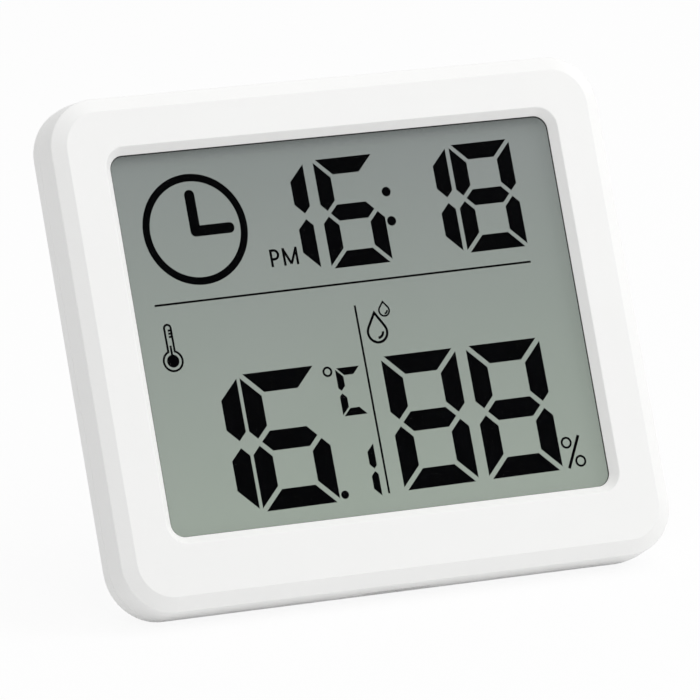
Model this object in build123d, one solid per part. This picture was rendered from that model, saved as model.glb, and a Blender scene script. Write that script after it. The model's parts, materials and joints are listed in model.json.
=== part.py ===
from build123d import *

import math
import os

# Thermometer hygrometer clock, in millimetres. Each piece is drawn in the case's own frame: X to the
# viewer's right, Y up the face, Z out of the face, with the origin on the front face in the middle of
# the display. A depth counts backwards from the front face. The last lines lean the clock on its stand.

# Display window and front frame
DISPLAY_WIDTH = 63.6
DISPLAY_HEIGHT = 50.6
WINDOW_RADIUS = 1.9
BEVEL_WIDTH = 1.0
BEVEL_DEPTH = 1.08
FRAME_SIDE = 4.95
FRAME_TOP = 4.88
FRAME_BOTTOM = 6.68
FACE_RADIUS = 4.8
CHAMFER_WIDTH = 1.9
CHAMFER_DEPTH = 0.92
SIDE_DRAFT = 0.35
EDGE_ROUND = 0.2

# Case shells
FRONT_WALL = 1.5
SIDE_WALL = 1.6
REAR_WALL = 1.4
SEAM_DEPTH = 4.6
SEAM_GROOVE = 0.1
TAPER_DEPTH = 3.75
BACK_ROUND = 0.4
LEAN_ANGLE = 23.5
OVERRUN = 0.5
FLAT_TOLERANCE = 0.001
PRY_DISC_RADIUS = 20.0
PRY_SLOT_DEPTH = 0.7
PRY_SLOT_WIDTH = 1.2

# Snap tabs between the shells
TAB_LENGTH = 7.0
TAB_THICKNESS = 0.9
TAB_CLEARANCE = 0.15
TAB_REACH = 1.6
TAB_ROOT = 1.5
BEAD_HEIGHT = 0.35
BEAD_WIDTH = 0.5
BEAD_TIP_GAP = 0.3
TOP_TAB_SHARE = 0.58
BOTTOM_TAB_SHARE = 0.21

# Display stack
DISPLAY_SEAT = 1.2
GASKET_THICKNESS = 0.1
GASKET_SETBACK = 0.5
POLARISER_THICKNESS = 0.12
POLARISER_MARGIN = 1.2
GLASS_THICKNESS = 0.4
GLASS_MARGIN = 1.6
GLASS_LEDGE = 2.4
CELL_GAP = 0.06
CRYSTAL_SKIN = 0.01
SEAL_WIDTH = 1.0
REFLECTOR_THICKNESS = 0.17
REFLECTOR_SETBACK = 0.4
ADHESIVE_THICKNESS = 0.03
DISPLAY_CLEARANCE = 0.2
RIB_THICKNESS = 1.0
RIB_HEIGHT = 1.6
ZEBRA_HEIGHT = 3.15
ZEBRA_WIDTH = 1.8
ZEBRA_END_INSET = 4.0
PAD_LENGTH = 10.0
PAD_WIDTH = 5.0
PAD_PLACE_SHARES = ((-0.34, 0.38), (-0.34, -0.24), (0.34, -0.24))

# Figures of the display: strokes and small shapes
TIME_STROKE = 2.17
READING_STROKE = 2.65
SMALL_STROKE = 1.0
RULE_STROKE = 0.27
FINE_STROKE = 0.28
SEGMENT_GAP_SHARE = 0.18
SEGMENT_TIP_SHARE = 0.41
COLON_RADIUS = 0.64
POINT_RADIUS = 0.55
DEGREE_RADIUS = 0.7
PERCENT_RADIUS = 0.8
PERCENT_STROKE = 0.4
CLOCK_RADIUS = 7.4
CLOCK_STROKE = 1.0
HAND_LENGTH = 5.54
HAND_STROKE = 1.42
HAND_DROP = 0.27
LETTER_HEIGHT = 2.35
LETTER_STROKE = 0.33
LETTER_P_WIDTH = 1.35
LETTER_M_WIDTH = 2.16
BULB_RADIUS = 1.46
BULB_FILL_RADIUS = 0.85
TUBE_WIDTH = 1.2
TUBE_HEIGHT = 4.96
COLUMN_HEIGHT = 2.05
COLUMN_WIDTH = 0.28
TICK_LENGTH = 0.6
TICK_RISE_SHARES = (0.815, 0.73, 0.645)
DROP_RADIUS = 1.55
DROP_RISE = 2.92
DROP_STROKE = 0.34
SMALL_DROP_RADIUS = 0.85
SMALL_DROP_RISE = 1.35
SMALL_DROP_STROKE = 0.23
GLINT_RADIUS_SHARE = 0.5

# Places of the figures, as shares of the display's width and height from their own middle. The glass sits
# a little aside and a little turned in its frame.
FIGURES_ASIDE = -0.3
FIGURES_RISE = -0.1
FIGURES_TURN = 0.62
TIME_DIGIT_SHARES = (("bc", -0.199), ("acdefg", -0.0352), ("bc", 0.1291), ("abcdefg", 0.2786))
TIME_BASE_SHARE = 0.1549
TIME_SIZE_SHARES = (0.1399, 0.2899)
COLON_SHARES = ((0.1184, 0.3409), (0.1184, 0.2623))
TEMPERATURE_DIGIT_SHARES = (("bc", -0.4668), ("acdefg", -0.2854))
TEMPERATURE_BASE_SHARE = -0.4518
TEMPERATURE_SIZE_SHARES = (0.1738, 0.3607)
HUMIDITY_DIGIT_SHARES = (("abcdefg", 0.0363), ("abcdefg", 0.2321))
HUMIDITY_BASE_SHARE = -0.4458
HUMIDITY_SIZE_SHARES = (0.1708, 0.3557)
TENTHS_DIGIT_SHARES = (("bc", -0.0739),)
TENTHS_BASE_SHARE = -0.4536
TENTHS_SIZE_SHARES = (0.0577, 0.1446)
CELSIUS_DIGIT_SHARES = (("adef", -0.0705),)
CELSIUS_BASE_SHARE = -0.2328
CELSIUS_SIZE_SHARES = (0.0577, 0.127)
POINT_SHARES = (-0.0991, -0.4354)
DEGREE_SHARES = (-0.0882, -0.1119)
PERCENT_RING_SHARES = ((0.4211, -0.3761), (0.4467, -0.4285))
PERCENT_SLASH_SHARES = ((0.4176, -0.4443), (0.4514, -0.3603))
LEVEL_RULE_SHARES = ((-0.4429, 0.1123), (0.4179, 0.1123))
UPRIGHT_RULE_SHARES = ((0, -0.4468), (0, 0.0522))
CLOCK_SHARES = (-0.323, 0.2988)
LETTER_P_SHARES = (-0.1689, 0.1773)
LETTER_M_SHARES = (-0.1403, 0.1773)
BULB_SHARES = (-0.4239, -0.0352)
DROP_SHARES = (0.0403, -0.0243)
SMALL_DROP_SHARES = (0.0638, 0.03)

# Circuit board and what it carries
BOARD_THICKNESS = 1.0
BOARD_CLEARANCE = 0.4
BOSS_RADIUS = 1.6
BOSS_WALL_GAP = 0.3
SCREW_RADIUS = 0.75
SCREW_CLEARANCE = 0.05
SCREW_HOLE_CLEARANCE = 0.2
SCREW_LENGTH = 3.0
SCREW_HEAD_RADIUS = 1.45
SCREW_HEAD_HEIGHT = 0.8
SCREW_SLOT_WIDTH = 0.35
SCREW_SLOT_DEPTH = 0.4
SIDE_SCREW_SHARE = 0.38
BOTTOM_SCREW_SHARE = 0.45
BLOB_RADIUS = 4.5
BLOB_HEIGHT = 1.2
CRYSTAL_RADIUS = 0.95
CRYSTAL_LENGTH = 6.0
CHIP_LENGTH = 1.6
CHIP_WIDTH = 0.8
CHIP_HEIGHT = 0.5
CHIP_PITCH = 2.2
CHIP_COUNT = 5
SENSOR_WIDTH = 8.0
SENSOR_HEIGHT = 6.0
SENSOR_THICKNESS = 0.7
SENSOR_SHARE = -0.22
THERMISTOR_RADIUS = 1.0
THERMISTOR_LENGTH = 2.6
THERMISTOR_GAP = 2.0
VENT_LENGTH = 10.0
VENT_WIDTH = 1.1
VENT_PITCH = 2.4
VENT_COUNT = 5

# Keys and their switches
KEY_RADIUS = 2.5
KEY_CLEARANCE = 0.15
KEY_PROUD = 0.5
KEY_ROUND = 0.3
KEY_FLANGE = 0.6
KEY_FLANGE_REACH = 0.7
KEY_STOP_GAP = 0.05
KEY_STEM_RADIUS = 1.2
KEY_TRAVEL = 0.3
KEY_PITCH = 9.0
KEY_INSET = 11.0
GUIDE_WALL = 0.8
GUIDE_HEIGHT = 0.9
SWITCH_SIZE = 4.5
SWITCH_HEIGHT = 1.0
SWITCH_FLOOR = 0.1
PLUNGER_RADIUS = 1.1
PLUNGER_CLEARANCE = 0.1
PLUNGER_PROUD = 0.5
PLUNGER_END_GAP = 0.05

# Battery bay and its door
CELL_RADIUS = 10.0
CELL_THICKNESS = 3.2
CELL_STEP = 0.3
CELL_STEP_INSET = 1.3
CELL_CLEARANCE = 0.3
WELL_WALL = 0.9
WELL_FLOOR = 0.7
WELL_DISPLAY_GAP = 1.1
BAY_WALL_GAP = 0.4
CONTACT_SPACE = 0.35
CONTACT_THICKNESS = 0.2
CONTACT_WIDTH = 3.0
CONTACT_CLEARANCE = 0.15
CONTACT_TAIL = 2.2
CONTACT_BUMP_RADIUS = 1.0
RIM_CONTACT_GAP = 0.02
DOOR_RIM = 1.2
DOOR_CLEARANCE = 0.2
DOOR_CELL_GAP = 0.1
LUG_THICKNESS = 0.7
LUG_CLEARANCE = 0.1
LUG_REACH = 1.2
LUG_COUNT = 3
LUG_ANGLE = 30.0
LUG_NOTCH_ANGLE = 36.0
DOOR_TURN = 50.0
COIN_SLOT_LENGTH = 14.0
COIN_SLOT_WIDTH = 2.0
COIN_SLOT_DEPTH = 0.8
DOOR_ROUND = 0.2

# Keyhole for a wall screw
KEYHOLE_RADIUS = 3.2
KEYHOLE_SLOT_RADIUS = 1.7
KEYHOLE_RISE = 5.5

# Fold-out stand
STAND_WIDTH = 20.0
STAND_THICKNESS = 1.6
STAND_SINK = 0.4
STAND_CLEARANCE = 0.3
STAND_CORNER = 2.5
STAND_TAIL = 2.2
STAND_STOP_GAP = 0.04
OPEN_ANGLE = 36.0
HINGE_HEIGHT = 3.5
PIN_RADIUS = 0.6
PIN_SEAT_CLEARANCE = 0.01
PIN_RUNNING_CLEARANCE = 0.05
PIN_END_GAP = 0.2
KNUCKLE_RADIUS = 1.3
KNUCKLE_SINK = 0.1
RECESS_WALL = 0.9
EAR_WIDTH = 2.4
EAR_HALF_HEIGHT = 1.9
SCOOP_RADIUS = 5.0
SCOOP_DEPTH = 1.3

# Depths of the stack, from the front face backwards
display_front = DISPLAY_SEAT + GASKET_THICKNESS
polariser_back = display_front + POLARISER_THICKNESS
front_glass_depth = polariser_back + ADHESIVE_THICKNESS
cell_gap_depth = front_glass_depth + GLASS_THICKNESS
rear_glass_depth = cell_gap_depth + CELL_GAP
rear_glass_back = rear_glass_depth + GLASS_THICKNESS
reflector_depth = rear_glass_back + ADHESIVE_THICKNESS
display_back = reflector_depth + REFLECTOR_THICKNESS
board_front = cell_gap_depth + ZEBRA_HEIGHT
board_back = board_front + BOARD_THICKNESS
well_front = display_back + WELL_DISPLAY_GAP
well_floor = well_front + WELL_FLOOR
cell_front = well_floor + CONTACT_SPACE
cell_back = cell_front + CELL_THICKNESS
lug_front = cell_back + DOOR_CELL_GAP
lug_back = lug_front + LUG_THICKNESS
rear_inner = lug_back + LUG_CLEARANCE
case_depth = rear_inner + REAR_WALL
taper_start = case_depth - TAPER_DEPTH

# Outline of the front face and how far the walls stand out from it
lean = math.radians(LEAN_ANGLE)
face_half_width = DISPLAY_WIDTH / 2 + BEVEL_WIDTH + FRAME_SIDE
face_top = DISPLAY_HEIGHT / 2 + BEVEL_WIDTH + FRAME_TOP
face_bottom = -DISPLAY_HEIGHT / 2 - BEVEL_WIDTH - FRAME_BOTTOM
seam_grow = CHAMFER_WIDTH + SIDE_DRAFT
inner_grow = CHAMFER_WIDTH - SIDE_WALL
bay_grow = seam_grow - (rear_inner - taper_start) * math.tan(lean) - SIDE_WALL
back_grow = seam_grow - TAPER_DEPTH * math.tan(lean)

# Display glass
glass_half_width = DISPLAY_WIDTH / 2 + GLASS_MARGIN
glass_top = DISPLAY_HEIGHT / 2 + GLASS_MARGIN
glass_bottom = -glass_top - GLASS_LEDGE

# Battery bay, keys, screws and sensors
well_radius = CELL_RADIUS + CELL_CLEARANCE
door_radius = CELL_RADIUS + DOOR_RIM
lug_radius = door_radius + LUG_REACH
chamber_radius = lug_radius + DOOR_CLEARANCE
bay_radius = chamber_radius + WELL_WALL
bay_x = face_half_width + bay_grow - BAY_WALL_GAP - bay_radius
bay_y = face_top + bay_grow - BAY_WALL_GAP - bay_radius
key_x = -face_half_width - bay_grow + KEY_INSET
key_rows = {"mode": bay_y + KEY_PITCH, "adjust": bay_y, "unit": bay_y - KEY_PITCH}
flange_radius = KEY_RADIUS + KEY_FLANGE_REACH
flange_back = rear_inner - KEY_STOP_GAP
plunger_top = board_back + SWITCH_HEIGHT + PLUNGER_PROUD
boss_x = face_half_width + inner_grow - BOSS_WALL_GAP - BOSS_RADIUS
boss_bottom = face_bottom - inner_grow + BOSS_WALL_GAP + BOSS_RADIUS
side_screw_y = SIDE_SCREW_SHARE * DISPLAY_HEIGHT / 2
bottom_screw_x = BOTTOM_SCREW_SHARE * face_half_width
screw_places = [
    (side * x, y)
    for side in (-1, 1)
    for x, y in ((boss_x, side_screw_y), (boss_x, -side_screw_y), (bottom_screw_x, boss_bottom))
]
blob_x = key_x / 2
sensor_y = SENSOR_SHARE * DISPLAY_HEIGHT

# Stand: the hinge, and the flap's own frame, where "along" runs from the pin to the foot and "out" backwards
pin_depth = case_depth - KNUCKLE_SINK - KNUCKLE_RADIUS
recess_floor = pin_depth - KNUCKLE_RADIUS - STAND_CLEARANCE
plate_out = case_depth - STAND_SINK - pin_depth
plate_in = plate_out - STAND_THICKNESS
opened = math.radians(OPEN_ANGLE)
foot_angle = opened - lean
table_level = (face_bottom - seam_grow) * math.cos(lean) - taper_start * math.sin(lean)
pin_level = HINGE_HEIGHT * math.cos(lean) - pin_depth * math.sin(lean)
stop_drop = pin_depth - recess_floor - STAND_STOP_GAP
recess_half_width = STAND_WIDTH / 2 + STAND_CLEARANCE
recess_top = HINGE_HEIGHT + math.hypot(STAND_TAIL, plate_out) + STAND_CLEARANCE


def foot_reach(out):
    """Distance along the open flap at which it meets the table."""
    return (pin_level - table_level + out * math.sin(foot_angle)) / math.cos(foot_angle)


recess_bottom = HINGE_HEIGHT - foot_reach(plate_out) - STAND_CLEARANCE


def slab(outline, front, back):
    """Prism of an outline between two depths."""
    return Pos(0, 0, -back) * extrude(outline, back - front, dir=(0, 0, 1))


def skin(*sections):
    """Straight-sided solid through outlines at given depths."""
    return loft([Pos(0, 0, -depth) * outline for outline, depth in sections], ruled=True)


def span(left, right, bottom, top):
    """Rectangle between two sides, a bottom and a top."""
    return Pos((left + right) / 2, (bottom + top) / 2) * Rectangle(right - left, top - bottom)


def case_outline(grow):
    """Outline of the front face, grown by a distance."""
    height = face_top - face_bottom + 2 * grow
    return Pos(0, (face_top + face_bottom) / 2) * RectangleRounded(
        2 * (face_half_width + grow), height, FACE_RADIUS + grow
    )


def window_outline(grow):
    """Outline of the visible display, grown by a distance."""
    return RectangleRounded(DISPLAY_WIDTH + 2 * grow, DISPLAY_HEIGHT + 2 * grow, WINDOW_RADIUS + grow)


def glass_outline(bottom, grow):
    """Outline of a display plate that ends at a given bottom edge."""
    return span(-glass_half_width - grow, glass_half_width + grow, bottom - grow, glass_top + grow)


def edges_at(part, depth):
    """Edges of a part that lie in one depth."""
    return part.edges().filter_by_position(Axis.Z, -depth - FLAT_TOLERANCE, -depth + FLAT_TOLERANCE)


def ring(radius, stroke):
    """Flat ring of an outer radius and a stroke."""
    return Circle(radius) - Circle(radius - stroke)


def sector(inner, outer, angle):
    """Part of a flat ring, centred on +X."""
    half = math.radians(angle / 2)
    corner_x = 2 * outer * math.cos(half)
    corner_y = 2 * outer * math.sin(half)
    wedge = Polygon((0, 0), (corner_x, -corner_y), (corner_x, corner_y), align=None)
    return (Circle(outer) - Circle(inner)) & wedge


def bar(start, end, stroke):
    """Straight bar with square ends."""
    run_x = end[0] - start[0]
    run_y = end[1] - start[1]
    middle = Pos((start[0] + end[0]) / 2, (start[1] + end[1]) / 2)
    turned = Rot(0, 0, math.degrees(math.atan2(run_y, run_x)))
    return middle * turned * Rectangle(math.hypot(run_x, run_y), stroke)


def gather(parts):
    """One node of separate solids."""
    return Compound(children=[solid for part in parts for solid in part.solids()])


def tab_places():
    """Where the snap tabs stand: the front shell's inner wall, with local Y pointing outwards."""
    top_x = TOP_TAB_SHARE * face_half_width
    bottom_x = BOTTOM_TAB_SHARE * face_half_width
    side_x = face_half_width + inner_grow
    places = []
    for side in (-1, 1):
        places.append(Pos(side * top_x, face_top + inner_grow))
        places.append(Pos(side * bottom_x, face_bottom - inner_grow) * Rot(0, 0, 180))
        places.append(Pos(side * side_x, 0) * Rot(0, 0, -90 * side))
    return places


def pry_disc():
    """Disc that cuts the pry slot across the seam, in the middle of the bottom wall."""
    middle_y = face_bottom - seam_grow + PRY_SLOT_DEPTH - PRY_DISC_RADIUS
    half = PRY_SLOT_WIDTH / 2
    return slab(Pos(0, middle_y) * Circle(PRY_DISC_RADIUS), SEAM_DEPTH - half, SEAM_DEPTH + half)


def make_front_shell():
    shell = skin(
        (case_outline(0), 0),
        (case_outline(CHAMFER_WIDTH), CHAMFER_DEPTH),
        (case_outline(seam_grow), SEAM_DEPTH - SEAM_GROOVE),
        (case_outline(seam_grow - SEAM_GROOVE), SEAM_DEPTH),
    )
    overrun_width = BEVEL_WIDTH * (1 + OVERRUN / BEVEL_DEPTH)
    shell -= skin((window_outline(overrun_width), -OVERRUN), (window_outline(0), BEVEL_DEPTH))
    shell -= slab(window_outline(0), BEVEL_DEPTH, SEAM_DEPTH)
    shell = fillet(edges_at(shell, 0) + edges_at(shell, CHAMFER_DEPTH), EDGE_ROUND)
    shell -= slab(case_outline(inner_grow), FRONT_WALL, SEAM_DEPTH)
    pocket = glass_outline(glass_bottom, DISPLAY_CLEARANCE)
    shell -= slab(pocket, DISPLAY_SEAT, FRONT_WALL)
    rib = glass_outline(glass_bottom, DISPLAY_CLEARANCE + RIB_THICKNESS) - pocket
    shell += slab(rib, FRONT_WALL, FRONT_WALL + RIB_HEIGHT)
    for x, y in screw_places:
        shell += slab(Pos(x, y) * Circle(BOSS_RADIUS), FRONT_WALL, board_front)
    for x, y in screw_places:
        pilot = Pos(x, y) * Circle(SCREW_RADIUS + SCREW_CLEARANCE)
        shell -= slab(pilot, board_front - SCREW_LENGTH, board_front)
    bead_front = SEAM_DEPTH - TAB_REACH + BEAD_TIP_GAP - TAB_CLEARANCE
    bead_back = bead_front + BEAD_WIDTH + 2 * TAB_CLEARANCE
    half_groove = TAB_LENGTH / 2 + TAB_CLEARANCE
    groove = slab(span(-half_groove, half_groove, -TAB_CLEARANCE, BEAD_HEIGHT), bead_front, bead_back)
    for place in tab_places():
        shell -= place * groove
    return shell - pry_disc()


def make_rear_cover():
    cover = skin(
        (case_outline(seam_grow - SEAM_GROOVE), SEAM_DEPTH),
        (case_outline(seam_grow), SEAM_DEPTH + SEAM_GROOVE),
        (case_outline(seam_grow), taper_start),
        (case_outline(back_grow), case_depth),
    )
    cover = fillet(edges_at(cover, case_depth), BACK_ROUND)
    cover -= skin(
        (case_outline(seam_grow - SIDE_WALL), SEAM_DEPTH),
        (case_outline(seam_grow - SIDE_WALL), taper_start),
        (case_outline(bay_grow), rear_inner),
    )
    cover = add_stand_recess(cover)
    cover = add_battery_bay(cover)
    guide_bore = flange_radius + KEY_CLEARANCE
    guide_front = rear_inner - GUIDE_HEIGHT
    for y in key_rows.values():
        cover += slab(Pos(key_x, y) * Circle(guide_bore + GUIDE_WALL), guide_front, rear_inner)
        cover -= slab(Pos(key_x, y) * Circle(guide_bore), guide_front, rear_inner)
        cover -= slab(Pos(key_x, y) * Circle(KEY_RADIUS + KEY_CLEARANCE), rear_inner, case_depth)
    for row in range(VENT_COUNT):
        vent_y = sensor_y + (row - (VENT_COUNT - 1) / 2) * VENT_PITCH
        cover -= slab(Pos(bay_x, vent_y) * SlotOverall(VENT_LENGTH, VENT_WIDTH), rear_inner, case_depth)
    keyhole = Pos(0, bay_y) * Circle(KEYHOLE_RADIUS) + upright_slot(KEYHOLE_SLOT_RADIUS)
    cover -= slab(keyhole, rear_inner, case_depth)
    for place in tab_places():
        cover += place * make_tab()
    return cover - pry_disc()


def upright_slot(radius):
    """Round-ended slot that a wall screw slides up in, from the middle of the keyhole."""
    slot = span(-radius, radius, bay_y, bay_y + KEYHOLE_RISE)
    return slot + Pos(0, bay_y) * Circle(radius) + Pos(0, bay_y + KEYHOLE_RISE) * Circle(radius)


def make_tab():
    """One snap tab, with its bead and its root in the rear cover's wall."""
    half = TAB_LENGTH / 2
    outer = -TAB_CLEARANCE
    inner = outer - TAB_THICKNESS
    tip = SEAM_DEPTH - TAB_REACH
    bead = span(-half, half, inner, outer + BEAD_HEIGHT)
    tab = slab(span(-half, half, inner, outer), tip, SEAM_DEPTH + TAB_ROOT)
    tab += slab(bead, tip + BEAD_TIP_GAP, tip + BEAD_TIP_GAP + BEAD_WIDTH)
    root = span(-half, half, inner, SIDE_DRAFT + TAB_CLEARANCE)
    return tab + slab(root, SEAM_DEPTH + SEAM_GROOVE, SEAM_DEPTH + TAB_ROOT)


def add_stand_recess(cover):
    """Recess for the folded flap, the ears for its pin, and a scoop for a fingernail."""
    box_half = recess_half_width + RECESS_WALL
    box = span(-box_half, box_half, recess_bottom - RECESS_WALL, recess_top + RECESS_WALL)
    cover += slab(box, recess_floor - RECESS_WALL, rear_inner)
    ear_half = recess_half_width + EAR_WIDTH
    ears = span(-ear_half, ear_half, HINGE_HEIGHT - EAR_HALF_HEIGHT, HINGE_HEIGHT + EAR_HALF_HEIGHT)
    cover += slab(ears, recess_floor - RECESS_WALL, rear_inner)
    recess = span(-recess_half_width, recess_half_width, recess_bottom, recess_top)
    cover -= slab(recess, recess_floor, case_depth)
    cover -= slab(Pos(0, recess_bottom) * Circle(SCOOP_RADIUS), case_depth - SCOOP_DEPTH, case_depth)
    return cover - pin_cylinder(PIN_RADIUS + PIN_SEAT_CLEARANCE, 2 * ear_half)


def add_battery_bay(cover):
    """Well for the coin cell, the chamber for the door's lugs, and slots for the two contacts."""
    centre = Pos(bay_x, bay_y)
    chamber_floor = lug_front - LUG_CLEARANCE
    cover += slab(centre * Circle(well_radius + WELL_WALL), well_front, rear_inner)
    cover += slab(centre * Circle(bay_radius), chamber_floor - WELL_WALL, rear_inner)
    cover -= slab(centre * Circle(well_radius), well_floor, rear_inner)
    cover -= slab(centre * Circle(chamber_radius), chamber_floor, rear_inner)
    cover -= slab(centre * Circle(door_radius + DOOR_CLEARANCE), rear_inner, case_depth)
    notch = sector(door_radius, chamber_radius, LUG_NOTCH_ANGLE)
    for lug in range(LUG_COUNT):
        turned = Rot(0, 0, lug * 360 / LUG_COUNT - DOOR_TURN)
        cover -= slab(centre * turned * notch, rear_inner, case_depth)
    slot_half = CONTACT_WIDTH / 2 + CONTACT_CLEARANCE
    well_end = well_radius + WELL_WALL + OVERRUN
    floor_slot = span(bay_x - well_end, bay_x, bay_y - slot_half, bay_y + slot_half)
    cover -= slab(floor_slot, well_floor, cell_front)
    rim_slot = span(bay_x - slot_half, bay_x + slot_half, bay_y - well_end, bay_y)
    return cover - slab(rim_slot, cell_front, board_back + CONTACT_THICKNESS + CONTACT_CLEARANCE)


def pin_cylinder(radius, length):
    """Cylinder on the stand's hinge axis."""
    return Pos(0, HINGE_HEIGHT, -pin_depth) * Rot(0, 90, 0) * Cylinder(radius, length)


def make_stand_flap():
    """Flap in its open place: its stop face meets the recess floor and its foot lies on the table."""
    stop_in = -(stop_drop + plate_in * math.cos(opened)) / math.sin(opened)
    stop_out = -(stop_drop - STAND_TAIL * math.sin(opened)) / math.cos(opened)
    profile = Polygon(
        (stop_in, plate_in),
        (foot_reach(plate_in), plate_in),
        (foot_reach(plate_out), plate_out),
        (-STAND_TAIL, plate_out),
        (-STAND_TAIL, stop_out),
        align=None,
    )
    profile += Circle(KNUCKLE_RADIUS)
    profile -= Circle(PIN_RADIUS + PIN_RUNNING_CLEARANCE)
    plate = extrude(profile, STAND_WIDTH / 2, both=True)
    foot_edges = plate.edges().filter_by_position(Axis.X, foot_reach(plate_in), foot_reach(plate_out))
    plate = fillet(foot_edges.filter_by(lambda edge: abs(edge.center().Z) > STAND_CORNER), STAND_CORNER)
    flap_plane = Plane((0, HINGE_HEIGHT, -pin_depth), x_dir=(0, -1, 0), z_dir=(1, 0, 0))
    return flap_plane * Rot(0, 0, OPEN_ANGLE) * plate


def make_stand_pin():
    return pin_cylinder(PIN_RADIUS, 2 * (recess_half_width + EAR_WIDTH - PIN_END_GAP))


def make_battery_door():
    door = slab(Circle(door_radius), lug_back, case_depth)
    door = fillet(edges_at(door, case_depth), DOOR_ROUND)
    door += slab(Circle(well_radius), lug_front, lug_back)
    for lug in range(LUG_COUNT):
        reach = Rot(0, 0, lug * 360 / LUG_COUNT) * sector(CELL_RADIUS, lug_radius, LUG_ANGLE)
        door += slab(reach, lug_front, lug_back)
    door -= slab(SlotOverall(COIN_SLOT_LENGTH, COIN_SLOT_WIDTH), case_depth - COIN_SLOT_DEPTH, case_depth)
    return Pos(bay_x, bay_y) * door


def make_coin_cell():
    can = slab(Circle(CELL_RADIUS), cell_front + CELL_STEP, cell_back)
    cap = slab(Circle(CELL_RADIUS - CELL_STEP_INSET), cell_front, cell_front + CELL_STEP)
    return Pos(bay_x, bay_y) * (can + cap)


def make_negative_contact():
    """Strip on the well's floor with a bump under the cell, and a tail up to the board's front."""
    half = CONTACT_WIDTH / 2
    tail = -well_radius - WELL_WALL - CONTACT_TAIL
    strip_back = well_floor + CONTACT_THICKNESS
    strip = slab(span(tail, CONTACT_BUMP_RADIUS, -half, half), well_floor, strip_back)
    strip += slab(Circle(CONTACT_BUMP_RADIUS), well_floor, cell_front)
    strip += slab(span(tail, tail + CONTACT_TAIL / 2, -half, half), well_floor, board_front)
    return Pos(bay_x, bay_y) * strip


def make_positive_contact():
    """Spring at the cell's rim, with a tail on the board's back."""
    half = CONTACT_WIDTH / 2
    touch = -CELL_RADIUS - RIM_CONTACT_GAP
    tail = -well_radius - WELL_WALL - CONTACT_TAIL
    spring = slab(span(-half, half, touch - CONTACT_THICKNESS, touch), cell_front + CELL_STEP, board_back)
    spring += slab(span(-half, half, tail, touch), board_back, board_back + CONTACT_THICKNESS)
    return Pos(bay_x, bay_y) * spring


def make_key(y):
    """Key cap with its flange behind the rear wall and its stem on the switch."""
    key = slab(Circle(KEY_RADIUS), flange_back, case_depth + KEY_PROUD)
    key = fillet(edges_at(key, case_depth + KEY_PROUD), KEY_ROUND)
    key += slab(Circle(flange_radius), flange_back - KEY_FLANGE, flange_back)
    key += slab(Circle(KEY_STEM_RADIUS), plunger_top, flange_back - KEY_FLANGE)
    return Pos(key_x, y) * key


def make_plunger(y):
    bottom = board_back + SWITCH_FLOOR + KEY_TRAVEL + PLUNGER_END_GAP
    return slab(Pos(key_x, y) * Circle(PLUNGER_RADIUS), bottom, plunger_top)


def make_tact_switches():
    body = slab(Rectangle(SWITCH_SIZE, SWITCH_SIZE), board_back, board_back + SWITCH_HEIGHT)
    bore = Circle(PLUNGER_RADIUS + PLUNGER_CLEARANCE)
    body -= slab(bore, board_back + SWITCH_FLOOR, board_back + SWITCH_HEIGHT)
    return gather([Pos(key_x, y) * body for y in key_rows.values()])


def make_circuit_board():
    board = case_outline(inner_grow - BOARD_CLEARANCE)
    board -= Pos(bay_x, bay_y) * Circle(well_radius + WELL_WALL + BOARD_CLEARANCE)
    board -= upright_slot(KEYHOLE_RADIUS + BOARD_CLEARANCE)
    for x, y in screw_places:
        board -= Pos(x, y) * Circle(SCREW_RADIUS + SCREW_HOLE_CLEARANCE)
    half = TAB_LENGTH / 2 + BOARD_CLEARANCE
    depth = TAB_CLEARANCE + TAB_THICKNESS + BOARD_CLEARANCE
    for place in tab_places():
        board -= place * span(-half, half, -depth, OVERRUN)
    return slab(board, board_front, board_back)


def make_board_screws():
    head = slab(Circle(SCREW_HEAD_RADIUS), board_back, board_back + SCREW_HEAD_HEIGHT)
    for turn in (0, 90):
        cross = Rot(0, 0, turn) * Rectangle(SCREW_HEAD_RADIUS, SCREW_SLOT_WIDTH)
        head -= slab(cross, board_back + SCREW_HEAD_HEIGHT - SCREW_SLOT_DEPTH, board_back + SCREW_HEAD_HEIGHT)
    screw = head + slab(Circle(SCREW_RADIUS), board_front - SCREW_LENGTH, board_back)
    return gather([Pos(x, y) * screw for x, y in screw_places])


def make_controller_blob():
    sphere_radius = (BLOB_RADIUS**2 + BLOB_HEIGHT**2) / (2 * BLOB_HEIGHT)
    dome = Pos(0, 0, -board_back - BLOB_HEIGHT + sphere_radius) * Sphere(sphere_radius)
    return Pos(blob_x, bay_y) * (dome & slab(Circle(BLOB_RADIUS), board_back, board_back + BLOB_HEIGHT))


def make_watch_crystal():
    can = Pos(blob_x, bay_y + KEY_PITCH, -board_back - CRYSTAL_RADIUS) * Rot(0, 90, 0)
    return can * Cylinder(CRYSTAL_RADIUS, CRYSTAL_LENGTH)


def make_smd_passives():
    chip = slab(Rectangle(CHIP_WIDTH, CHIP_LENGTH), board_back, board_back + CHIP_HEIGHT)
    column_x = (key_x + SWITCH_SIZE / 2 + blob_x - BLOB_RADIUS) / 2
    rises = [(place - (CHIP_COUNT - 1) / 2) * CHIP_PITCH for place in range(CHIP_COUNT)]
    return gather([Pos(column_x, bay_y + rise) * chip for rise in rises])


def make_humidity_sensor():
    plate = Pos(bay_x, sensor_y) * Rectangle(SENSOR_WIDTH, SENSOR_HEIGHT)
    return slab(plate, board_back, board_back + SENSOR_THICKNESS)


def make_thermistor():
    bead_y = sensor_y - SENSOR_HEIGHT / 2 - THERMISTOR_GAP - THERMISTOR_RADIUS
    bead = Pos(bay_x, bead_y, -board_back - THERMISTOR_RADIUS) * Rot(0, 90, 0)
    return bead * Cylinder(THERMISTOR_RADIUS, THERMISTOR_LENGTH)


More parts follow.
